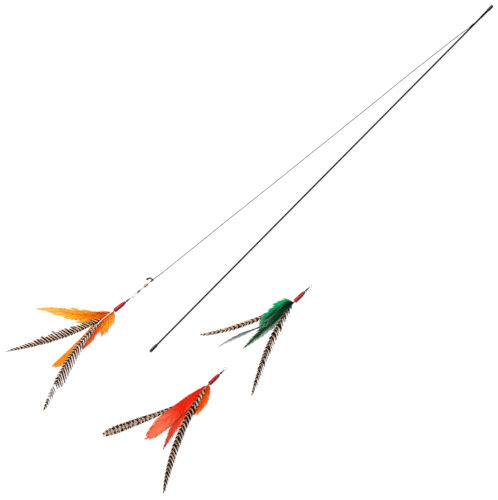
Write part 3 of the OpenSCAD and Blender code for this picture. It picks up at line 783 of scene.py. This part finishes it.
def blades(x, y, z, heading, side, look, rng):
    """A ridge along each line, with a corner half a width to each side and one on top. It is
    full from near its root, and narrows by the square of the share along it."""
    q = BARB_SHARE
    half = look.blade / 2 * (1 - look.taper * q**2) * np.minimum(1, 0.35 + 2.5 * q)
    half = (half * (1 + 0.2 * rng.uniform(-1, 1, (len(x), 1))))[..., None]
    flank = np.array([1.0, 0.0, -1.0])
    px = x[..., None] - np.sin(heading)[..., None] * half * flank
    py = y[..., None] + np.cos(heading)[..., None] * half * flank
    pz = z[..., None] + np.array([-0.5, 1.0, -0.5]) * BARB_THICK
    pz = pz + 0.05 * flank * side[:, None, None] * (1 - q[..., None])
    return np.stack([px, py, np.maximum(pz, FLOOR_GAP - CAP_R)], -1)


def pigment(barbs, forward, across, look, rng):
    """Dark where the bar's wave is over a level set by the dark share there."""
    t, side = barbs.t, barbs.side
    at = (t * look.long)[:, None] + look.slant * forward
    bar = np.where(side[:, None] > 0, *(np.interp(at, *line) for line in barbs.beats))
    wave = 0.5 - 0.5 * np.cos(2 * np.pi * bar)
    edge = vane_edge(t, side, look)[:, None] + 0.5
    share = np.interp(across / edge, *np.transpose(look.zones))
    share = share * np.interp(t, *np.transpose(look.fade))[:, None]
    share = np.clip(share * (1 + 0.15 * rng.normal(0, 1, (len(t), 1))), 0, 1)
    return np.clip((wave - 0.5 - 0.5 * np.cos(np.pi * share)) / SOFT_EDGE, 0, 1)


def density(t, side, look):
    """Share of barbs that are there: full, but for the gaps (side, from, to, share)."""
    full = np.ones_like(t)
    for on, start, end, left in look.gaps:
        full = np.where((side * on >= 0) & (t > start) & (t < end), left, full)
    return full


def barb_grid(shaft, look, rng):
    """Points (barb, step, corner), their UV in centimetres, and three values for each."""
    barbs = deal_barbs(look, rng)
    t, side, luck = barbs.t, barbs.side, barbs.luck
    q, count = BARB_SHARE, len(t)
    reach = barb_reach(barbs, look, rng)
    turn = barb_turns(barbs, reach, look, rng)
    forward, across = barb_walk(barbs, reach, turn)

    # Turned by the shaft's heading at the barb's root
    x, y, z, a = (np.interp(t, shaft["t"], shaft[k])[:, None] for k in "xyza")
    c, s = np.cos(a), np.sin(a)
    x, y = x + c * forward - s * across, y + s * forward + c * across
    heading = a + side[:, None] * turn

    # The vane cups upwards, and loose barbs stand off it
    lift = look.lift * (0.6 + 0.4 * wander(count, 14, rng))
    lift = lift + look.fluff * barbs.loose * np.abs(luck[:, 2])
    z = z + lift[:, None] * q**1.6 * np.minimum(1, reach / 6)[:, None]

    points = blades(x, y, z, heading, side, look, rng)
    dark = pigment(barbs, forward, across, look, rng)
    tone = np.clip(0.5 + 0.25 * rng.normal(0, 1, (count, 1)) + 0.12 * luck[:, :1], 0, 1)
    uv = np.stack([(t * look.long)[:, None] + forward, across], -1) / MM_IN_CM
    kept = rng.uniform(0, 1, count) < density(t, side, look)
    full = points[kept].shape[:3]
    values = {"tone": np.repeat(tone, BARB_STEPS, 1), "reach": np.repeat(q, count, 0), "dark": dark}
    values = {name: np.broadcast_to(v[kept][..., None], full) for name, v in values.items()}
    return points[kept], np.broadcast_to(uv[kept][:, :, None], full + (2,)), values


# %% Faces of the blades
def blade_faces(count):
    """Quads along each blade's three sides, and a triangle on each end."""
    base = np.arange(count)[:, None, None] * BARB_STEPS * CORNERS
    j = np.arange(BARB_STEPS - 1)[None, :, None] * CORNERS
    k = np.arange(CORNERS)[None, None]
    n = (k + 1) % CORNERS
    quads = np.stack([base + j + k, base + j + n, base + j + CORNERS + n, base + j + CORNERS + k], -1)
    start = base[:, 0, :] + np.array([[2, 1, 0]])
    end = base[:, 0, :] + (BARB_STEPS - 1) * CORNERS + np.array([[0, 1, 2]])
    return quads.reshape(-1, 4), np.vstack([start, end])


# %% [markdown]
# ### One feather
# Barbs and shaft go into one mesh with two finishes. The UV map holds the
# distance along the shaft and out from it, and three attributes each barb's
# tone, the share along it and how dark it is there.

# %% Feather piece
QUILL_SIDES = 8
SOCKET_R = 0.45
LEAD_STEPS = 6


def shaft_grid(shaft, look):
    """Tube from the socket to the tip: thin in the glue, full just outside, thin at the tip."""
    lead = np.linspace(-SOCKET, -0.5, LEAD_STEPS)
    x = np.append(lead, shaft["x"][::4])
    y, z, t = (np.append(np.full(LEAD_STEPS, shaft[k][0]), shaft[k][::4]) for k in "yzt")
    swell = ease((x + 2) / 5) * (t < 0.5) + (t >= 0.5)
    r = SOCKET_R + (look.quill / 2 - SOCKET_R) * swell
    r = r * (1 - 0.88 * t**0.8)
    line = np.stack([x, y, z + 0.05], 1)
    return tube_grid(line, r[:, None], QUILL_SIDES), t


def feather(node, colour, vane, look, layer, layers, seed):
    """A feather in place of a CAD node, riding on its lure."""
    rng = np.random.default_rng(seed)
    finish, quill, slot = VANES[vane]
    shaft = shaft_of(look, layer, layers)
    points, uv, values = barb_grid(shaft, look, rng)
    quads, ends = blade_faces(len(points))
    stem, stem_t = shaft_grid(shaft, look)
    stem_quads, stem_start, stem_end = tube_faces(len(stem), QUILL_SIDES)
    first, stem_points = points.size // 3, stem.size // 3
    all_points = in_lure(colour, np.vstack([points.reshape(-1, 3), stem.reshape(-1, 3)]))
    faces = quads.tolist() + ends.tolist() + (stem_quads + first).tolist()
    faces += [[first + i for i in stem_start], [first + i for i in stem_end]]
    piece = put_together(node + "_barbs", all_points, faces, finish.material)
    mesh = piece.data
    mesh.materials.append(quill.material)
    index = np.zeros(len(mesh.polygons), int)
    index[len(quads) + len(ends) :] = 1
    mesh.polygons.foreach_set("material_index", index)

    # The map and the values, corner by corner and point by point
    stem_along = np.repeat(stem_t * look.long / MM_IN_CM, QUILL_SIDES)
    stem_uv = np.stack([stem_along, np.zeros(stem_points)], 1)
    per_point = np.vstack([uv.reshape(-1, 2), stem_uv])
    corner = np.zeros(len(mesh.loops), int)
    mesh.loops.foreach_get("vertex_index", corner)
    mesh.uv_layers.new(name="vane").data.foreach_set("uv", per_point[corner].ravel())
    for name, value in values.items():
        attribute = mesh.attributes.new(name, "FLOAT", "POINT")
        attribute.data.foreach_set("value", np.append(value.ravel(), np.full(stem_points, 0.5)))
    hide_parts(node)
    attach(piece, BODIES[colour])
    print(piece.name, len(points), "barbs,", len(mesh.polygons), "faces")


# %% [markdown]
# ### Feather finishes
# A cock's hackle is barred across: the pigment was laid down in rhythm while the
# feather grew. The dark attribute says where, and fine grain frays its edges. A
# dyed plume is deep along the shaft and pale at the ends of its barbs. Colours
# are written as they look on a screen, from 0 to 255.


# %% Makers of feather finishes
def screen(*levels):
    """Linear light of a colour given as it looks on a screen: the share of full, plus 0.055,
    over 1.055, to the power 2.4."""
    share = np.array(levels) / 255
    return tuple(np.where(share < 0.04, share / 12.92, ((share + 0.055) / 1.055) ** 2.4).tolist())


def vane_finish(name):
    """A dull finish with grain, nine to a centimetre."""
    f = Finish(name, Roughness=0.7, Specular_IOR_Level=0.05)
    vane = f.node("TexCoord", output="UV")
    return f, f.noise(f.stretch(vane, (9, 9, 1)), 4.0)


def distance(f, output):
    """Centimetres along the shaft, which is output 0, or out from it, which is 1."""
    vane = f.node("TexCoord", output="UV")
    return f.node("SeparateXYZ", {}, {"Vector": vane}, output)


def value_of(f, name):
    """One of the values that each point of a feather holds."""
    return f.node("Attribute", {"attribute_name": name}, output=2)


def barred(name, pale, brown, dark, end=None):
    """Pale, brown and dark by the dark attribute, with another pale towards the barbs' ends."""
    f, grain = vane_finish(name)
    pale, brown, dark, end = (screen(*colour) for colour in (pale, brown, dark, end or pale))
    light = f.mix(f.band(value_of(f, "reach") + (grain - 0.5) * 0.6, 0.45, 0.95), pale, end)
    frayed = value_of(f, "dark") + (grain - 0.5) * 0.35
    bars = f.mix(f.band(frayed, 0.12, 0.45), light, brown)
    bars = f.mix(f.band(frayed, 0.5, 0.8), bars, dark)
    f.set(Base_Color=f.shaded(bars, value_of(f, "tone"), 0.8, 1.08))
    return f


def dyed(name, root, body, end, turn_at, spread, far=None, painted_light_side=0.0):
    """Root colour to body along the shaft, and to the end colour along each barb. On one side the end
    colour comes sooner, a painted light side: the right side for a positive share, the left for a negative
    one. Far is a colour and where it comes."""
    f, grain = vane_finish(name)
    along, out, tone = distance(f, 0), distance(f, 1), value_of(f, "tone")
    patch = (grain - 0.5) * 2.5 + (tone - 0.5) * 2.0
    deep = f.band(along + out.size() * 1.5 + patch, turn_at * 0.3, turn_at * 1.2)
    base = f.mix(deep, screen(*root), screen(*body))
    if far:
        colour, comes, full = far
        base = f.mix(f.band(along + patch, comes, full), base, screen(*colour))
    # Painted light: one side of the vane is made paler, as if lit from that side.
    pale = value_of(f, "reach") + (tone - 0.5) * 0.7 - out * painted_light_side
    dye = f.mix(f.band(pale, 1.05 - spread, 1.35 - 0.5 * spread), base, screen(*end))
    f.set(Base_Color=f.shaded(dye, tone, 0.68, 1.16))
    return f


def quill_finish(name, near, far, turn_at):
    """Horn coloured near the cap, and darker or dyed further out."""
    f = Finish(name, Roughness=0.4, Specular_IOR_Level=0.12)
    mottle = f.grain(300, 3.0)
    there = f.band(distance(f, 0) + mottle, turn_at, turn_at + 3)
    f.set(Base_Color=f.mix(there, screen(*near), screen(*far)))
    f.bump(mottle, 0.1, 0.0001)
    return f


# %% [markdown]
# ### Colours of the feathers
# Each row is what its maker above takes, in the same order, after the quill and
# for a dyed vane the slot. Distances are in centimetres.

# %% Colours of the feathers
HORNS = {
    "horn": ((225, 200, 165), (120, 80, 60), 4.0),
    "dark": ((225, 120, 60), (40, 18, 12), 1.4),
    "bare": ((250, 236, 214), (60, 34, 24), 4.0),
    "orange": ((240, 150, 60), (240, 120, 10), 2.0),
    "green": ((2, 34, 14), (2, 34, 16), 1.5),
    "red": ((240, 90, 45), (238, 62, 38), 1.5),
}
BARS = {
    "spiky": ("dark", (255, 218, 188), (125, 62, 34), (58, 22, 8)),
    "striped": ("bare", (255, 240, 225), (135, 72, 50), (62, 20, 8)),
    "russet": ("horn", (226, 184, 154), (122, 68, 42), (48, 20, 8), (242, 212, 190)),
    "tan": ("dark", (230, 190, 158), (88, 42, 22), (36, 10, 2), (248, 228, 206)),
    "blocky": ("horn", (222, 184, 160), (125, 76, 52), (36, 14, 4), (250, 232, 218)),
    "bold": ("dark", (240, 200, 168), (105, 52, 28), (36, 10, 0)),
}
DYES = {
    "gold": ("orange", "orange_plume", (222, 52, 0), (255, 156, 10), (255, 194, 66), 7.0, 0.55,
        ((255, 206, 96), 8, 14)),
    "amber": ("orange", "orange_plume", (230, 66, 0), (252, 142, 5), (255, 170, 40), 4.0, 0.35),
    "honey": ("orange", "orange_plume", (235, 95, 5), (252, 150, 20), (255, 195, 70), 2.0, 0.5),
    "flame": ("red", "flame_plume", (205, 22, 4), (245, 75, 20), (255, 165, 60), 3.0, 0.55),
    "green": ("green", "green_plume", (0, 26, 4), (0, 60, 27), (14, 182, 118), 3.5, 0.42,
        ((88, 135, 108), 5.8, 8.2), 0.5),
    "deep_green": ("green", "green_plume", (0, 32, 10), (6, 60, 34), (150, 175, 155), 4.0, 0.62,
        ((20, 80, 50), 9, 12), -0.3),
    "dark_green": ("green", "dark_green_plume", (0, 50, 32), (40, 80, 65), (150, 165, 158), 5.0, 0.4,
        ((190, 195, 192), 9, 15)),
    "red": ("red", "red_plume", (222, 6, 0), (248, 32, 4), (255, 108, 60), 5.0, 0.45,
        ((255, 122, 84), 7.5, 12)),
    "coral": ("red", "red_plume", (215, 16, 2), (232, 48, 20), (255, 125, 90), 5.0, 0.45,
        ((235, 80, 50), 8, 14)),
    "ember": ("red", "flame_plume", (220, 25, 5), (245, 75, 5), (255, 150, 25), 2.0, 0.6),
}  # fmt: skip
QUILLS = {key: quill_finish(key + "_quill", *colours) for key, colours in HORNS.items()}
VANES = {}
for key, (quill, *colours) in BARS.items():
    VANES[key] = (barred(key + "_barred", *colours), QUILLS[quill], "barred_feather")
for key, (quill, slot, *colours) in DYES.items():
    VANES[key] = (dyed(key + "_dyed", *colours), QUILLS[quill], slot)
print(len(QUILLS), "quill finishes,", len(VANES), "vane finishes")

# %% [markdown]
# ### Looks
# Two looks are common, a hackle's and a plume's: barbs to a millimetre, their
# angle and looseness near the root, midway and at the tip, the tufts' pitch, and
# so on. Left, right, zones and fade pair a place with a share.

# %% Common looks
PLAIN = ((0, 1), (1, 1))
HACKLE = dict(
    length=225.0, width=14.0, per_mm=2.6, angle=(60, 56, 40), bend=0.22, pitch=(7.5, 6), shake=0.15,
    gather=0.2, ragged=0.04, notch=0.06, loose=(0.6, 0.6, 0.8), stray=2.0, curl=2.5, swing=2.5, wild=0.05,
    lift=0.6, fluff=0.1, blade=0.72, taper=0.4, left=PLAIN, right=PLAIN, gaps=[], quill=1.1, slant=0.0,
    zones=((-1, 0.65), (1, 0.65)), fade=PLAIN,
)  # fmt: skip
PLUME = dict(
    HACKLE, length=155.0, width=24.0, per_mm=3.4, angle=(50, 38, 26), bend=0.7, pitch=(8, 10), shake=0.3,
    gather=0.1, ragged=0.05, notch=0.04, loose=(0.8, 0.7, 0.6), stray=1.6, curl=1.6, swing=2.0,
    lift=1.1, fluff=0.3, blade=1.0, taper=0.85, quill=0.9, zones=PLAIN, fade=((0, 0), (1, 0)),
)  # fmt: skip
SHARES = ("start", "peak", "blunt", "socket", "heading", "curve", "sway", "lean")

# %% [markdown]
# ### The fifteen feathers
# Each has its finish, its part of the common length and width, the CAD feather's
# own shares, and what differs from the common look. A lure's lowest comes first.

# %% The fifteen feathers
FEATHERS = {
"orange": [
    ("plume_wide", "gold", 0.98, 1.0, [0.04, 0.3, 0.05, 0.4, -15, -105, 82, 0], dict(
     loose=(0.6, 1.3, 0.8), ragged=0.09, stray=2.4,
     left=((0, 1), (0.15, 1.2), (0.45, 1.15), (0.6, 1), (1, 1)),
     right=((0, 0.8), (0.3, 0.85), (0.5, 1), (1, 1.1)))),
    ("plume_long", "amber", 1.01, 0.68, [0.1, 0.7, 0.55, -0.1, -6, 61, -63, 0.25], dict(
     loose=(1.4, 0.35, 0.2), gather=0.05, swing=1.2, right=((0, 2.4), (0.3, 1.9), (0.45, 1), (1, 1)))),
    ("plume_short", "honey", 0.35, 0.75, [0.05, 0.45, 0.5, 0.05, 29, -34, 38, 0], dict(
     loose=(0.8, 1.2, 1.8), pitch=(4, 5), bend=0.4, notch=0.12, ragged=0.12)),
    ("plume_flame", "flame", 0.61, 0.5, [0.1, 0.6, 0.5, -0.45, 6, 43, -44, 0], dict(
     loose=(1.0, 1.2, 1.4), pitch=(5, 6), bend=0.4, notch=0.12, ragged=0.14, left=((0, 0.7), (1, 0.7)))),
    ("barred_feather_low", "spiky", 0.98, 1.1, [0.12, 0.5, 0.1, 0.1, -2, -45, 20, -0.7], dict(
     right=((0, 2.4), (0.16, 2.4), (0.22, 1.7), (0.33, 1.15), (0.5, 0.95), (0.6, 1), (0.71, 0.9),
            (0.82, 0.8), (1, 0.85)),
     angle=(50, 60, 42), bend=0.12, pitch=(5.2, 6.5), gather=0.22, notch=0.12, ragged=0.1,
     loose=(0.4, 0.9, 0.8), zones=((-1, 0.85), (0, 0.8), (1, 0.85)),
     fade=((0, 1.1), (0.5, 1), (0.85, 1), (1, 1.3)))),
    ("barred_feather_high", "striped", 1.03, 1.3, [0.15, 0.58, 0.6, -0.35, -3, 51, -18, 0.55], dict(
     left=((0, 0.9), (0.25, 0.75), (0.45, 0.9), (0.6, 1), (0.76, 1.05), (0.79, 0.6), (1, 0.5)),
     pitch=(6.2, 6.2), angle=(50, 55, 45), gather=0.35, notch=0.08, quill=1.7,
     gaps=[(0, 0.765, 0.795, 0.1), (1, 0.8, 0.86, 0.5), (-1, 0.8, 0.9, 0.3), (1, 0.87, 0.9, 0.2)],
     zones=((-1, 0.88), (0, 0.8), (0.35, 0.72), (1, 0.75)), fade=((0, 1), (0.4, 1), (0.8, 1.1), (1, 1.4)))),
],
"green": [
    ("barred_feather_low", "russet", 0.84, 0.68, [0.12, 0.5, 0.5, 0.35, -19, -1, -17, 0], dict(
     right=((0, 1.3), (0.3, 1.4), (0.4, 1), (1, 1)), left=((0, 1), (0.8, 1), (0.93, 1.3), (1, 1.6)),
     pitch=(5, 9), shake=0.35, slant=0.5, gather=0.25, notch=0.12,
     zones=((-1, 0.72), (-0.4, 0.58), (0, 0.45), (0.4, 0.75), (1, 0.88)),
     fade=((0, 1), (0.9, 1), (1, 0.9)))),
    ("barred_feather_high", "tan", 0.87, 0.66, [0.04, 0.45, 0.5, -0.3, 7, 41, -17, 0.3], dict(
     pitch=(7, 6.5), shake=0.35, slant=0.45, gather=0.4, notch=0.25, loose=(1.4, 0.8, 0.6),
     left=((0, 2.4), (0.3, 1.7), (0.6, 1.55), (1, 1.5)), right=((0, 1), (0.5, 1.2), (1, 1.4)),
     zones=((-1, 0.95), (0, 0.85), (0.4, 0.75), (1, 0.82)))),
    ("plume_thin", "dark_green", 1.09, 0.33, [0.15, 0.5, 0.2, 0.1, 11, -105, 85, 0], dict(
     left=((0, 0.3), (0.6, 0.3), (0.75, 1), (1, 1)), right=((0, 0.3), (0.55, 0.3), (0.7, 1), (1, 0.8)),
     notch=0.2)),
    ("plume_long", "deep_green", 0.85, 0.85, [0.04, 0.3, 0.15, -0.35, 0, -1, -2, 0], dict(
     left=((0, 0.3), (0.25, 0.35), (0.45, 1), (1, 1)))),
    ("plume_wide", "green", 0.54, 1.1, [0.03, 0.45, 0.4, 0.25, -22, 38, -14, -0.1], dict(
     right=((0, 2.2), (0.1, 1.6), (0.25, 1.25), (0.45, 1), (1, 1)),
     left=((0, 0.4), (0.3, 0.6), (0.6, 1), (1, 1)), angle=(62, 42, 30), bend=0.45, per_mm=5, blade=1.2,
     loose=(0.7, 1.1, 1.0), pitch=(5, 7), ragged=0.1, notch=0.07)),
],
"red": [
    ("barred_feather_low", "blocky", 0.99, 1.02, [0.1, 0.78, 0.55, 0.35, -3, -56, 38, 0], dict(
     pitch=(10.5, 7), shake=0.3, gather=0.1, loose=(0.8, 0.6, 0.5), angle=(60, 60, 55), slant=0.85,
     left=((0, 0.8), (0.8, 1), (0.93, 1.2), (1, 1.5)),
     right=((0, 1.3), (0.5, 1.1), (0.8, 1), (0.93, 1.2), (1, 1.5)),
     zones=((-1, 0.85), (-0.4, 0.8), (-0.2, 0.3), (0.25, 0.25), (0.5, 0.75), (1, 0.88)),
     fade=((0, 1), (0.9, 1), (0.97, 0.6)))),
    ("plume_short", "ember", 0.44, 0.6, [0.03, 0.5, 0.55, 0.15, 37, -23, -27, 0], dict(
     loose=(1.0, 1.2, 1.2), pitch=(4, 5), bend=0.4, notch=0.1)),
    ("plume_long", "coral", 0.98, 0.68, [0.04, 0.45, 0.35, -0.3, -8, 61, -33, 0], dict(
     left=((0, 1.2), (0.6, 1.2), (1, 0.8)))),
    ("plume_wide", "red", 1.01, 1.2, [0.04, 0.6, 0.5, 0.05, -10, 27, -19, 0], dict(
     loose=(0.6, 0.5, 0.2), gather=0.05, swing=1.2,
     right=((0, 0.9), (0.2, 0.75), (0.55, 0.72), (0.75, 1), (1, 1.1)))),
    ("barred_feather_high", "bold", 1.0, 0.95, [0.04, 0.5, 0.5, -0.35, 8, 32, 0, 0.55], dict(
     pitch=(8.2, 7.4), gather=0.15, loose=(0.6, 0.5, 0.7), quill=1.2, zones=((-1, 0.85), (1, 0.8)),
     fade=((0, 0.6), (0.3, 1), (1, 1.1)))),
],
}  # fmt: skip

# %% Making them
FIRST_SEED = 12
rows = [(colour, layer, *row) for colour in COLOURS for layer, row in enumerate(FEATHERS[colour])]
for seed, (colour, layer, name, vane, long, wide, shares, change) in enumerate(rows, FIRST_SEED):
    common = HACKLE if name.startswith("barred") else PLUME
    look = SimpleNamespace(**dict(common, **change), **dict(zip(SHARES, shares)))
    look.long, look.wide = long * look.length, wide * look.width
    feather(f"{colour}_{name}", colour, vane, look, layer, len(FEATHERS[colour]), seed)

# %% [markdown]
# ## Floor and light
# The toy lies on a white sheet under a soft studio light. For the camera alone
# the sheet glows a little, so that it comes out white and keeps a faint shadow.
# The sky is white for the camera too, and gives most of the light. One long soft
# box over the rod's far side draws the highlight along every round part.

# %% Floor
SHEET_HALF, SHEET_MIDDLE, SHEET_DROP = 6.0, 0.3, 0.02 * MM
SHEET_WHITE, SHEET_GLOW = 0.88, 1.07
corners = [
    (SHEET_MIDDLE + x * SHEET_HALF, y * SHEET_HALF, FLOOR - SHEET_DROP)
    for x, y in ((-1, -1), (1, -1), (1, 1), (-1, 1))
]
sheet = Finish("white_sheet", Base_Color=(0.9, 0.9, 0.9), Roughness=0.9, Specular_IOR_Level=0.0)
dull = Signal(sheet, sheet.shader.outputs[0])
glow = sheet.node("Emission", {}, {"Strength": SHEET_GLOW})
white = SHEET_WHITE * sheet.node("LightPath", output="Is Camera Ray")
blend = sheet.node("MixShader", {}, {0: white, 1: dull, 2: glow})
sheet.feed(sheet.tree.nodes["Material Output"].inputs["Surface"], blend)
put_together("floor", corners, [[0, 1, 2, 3]], sheet.material, False)
print("floor at", round(FLOOR / MM, 2), "mm")

# %% Sky and lamp
SKY = 0.42
world = bpy.data.worlds.new("studio")
bpy.context.scene.world = world
world.use_nodes = True
sky = Nodes(world.node_tree)
background = sky.tree.nodes["Background"]
camera_ray = sky.node("LightPath", output="Is Camera Ray")
sky.feed(background.inputs["Strength"], (1 - SKY) * camera_ray + SKY)
sky.feed(background.inputs["Color"], (1, 1, 1))

LAMP_AT = (0.36, 0.95, 1.36)
LAMP_TO = (0.36, 0, 0)
LAMP_SIZE = (2.2, 0.5)
LAMP_WATTS = 32
lamp = bpy.data.objects.new("soft_box", bpy.data.lights.new("soft_box", "AREA"))
bpy.context.collection.objects.link(lamp)
lamp.data.shape = "RECTANGLE"
lamp.data.size, lamp.data.size_y = LAMP_SIZE
lamp.data.energy = LAMP_WATTS
lamp.location = LAMP_AT
lamp.rotation_euler = (Vector(LAMP_AT) - Vector(LAMP_TO)).to_track_quat("Z", "Y").to_euler()
bpy.context.scene.view_settings.view_transform = "Standard"
print("sky", SKY, "and a lamp of", LAMP_WATTS, "W")
